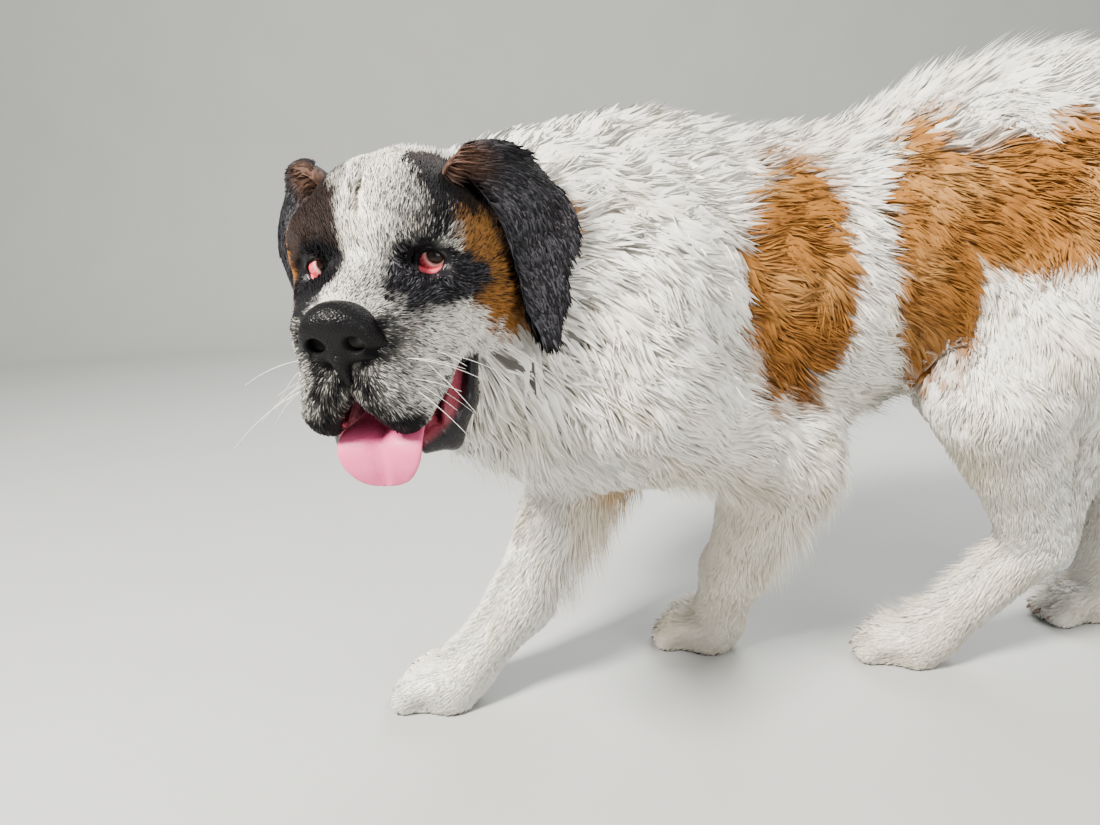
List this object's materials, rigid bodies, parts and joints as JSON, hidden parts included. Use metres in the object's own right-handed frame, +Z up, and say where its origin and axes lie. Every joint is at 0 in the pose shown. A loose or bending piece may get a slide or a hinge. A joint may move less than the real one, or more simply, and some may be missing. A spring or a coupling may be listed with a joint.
{
  "type": "saint bernard",
  "caption": "Life-size still model of a walking saint bernard, head turned to its left, mouth open and tongue out, standing on its four paws.",
  "frame": {"origin": "on the floor under the middle of the bounding box", "axes": "+Z up, the trunk runs along Y with the tail towards +Y, the animal's left side is +X"},
  "size_m": [0.6452, 1.3764, 0.8169],
  "materials": {
    "coat_white": "thick soft white hair",
    "coat_rust": "thick soft rust and white hair",
    "coat_black": "short silky black hair",
    "eye": "wet and glossy, dark brown iris",
    "nose_leather": "damp pebbled black",
    "lip": "wet black skin with a maroon inside",
    "tongue": "wet pink with fine papillae"
  },
  "bodies": {
    "root": {"head": "coat_white", "neck": "coat_white", "torso": "coat_rust", "tail": "coat_white", "foreleg_left": "coat_white", "foreleg_right": "coat_white", "fore_paw_left": "coat_white", "fore_paw_right": "coat_white", "thigh_left": "coat_white", "thigh_right": "coat_white", "hindleg_left": "coat_white", "hindleg_right": "coat_white", "hind_pastern_left": "coat_white", "hind_pastern_right": "coat_white", "hind_paw_left": "coat_white", "hind_paw_right": "coat_white", "ear_left": "coat_black", "ear_right": "coat_black", "eye_left": "eye", "eye_right": "eye", "nose": "nose_leather", "lower_jaw": "lip", "tongue": "tongue"}
  },
  "joints": []
}
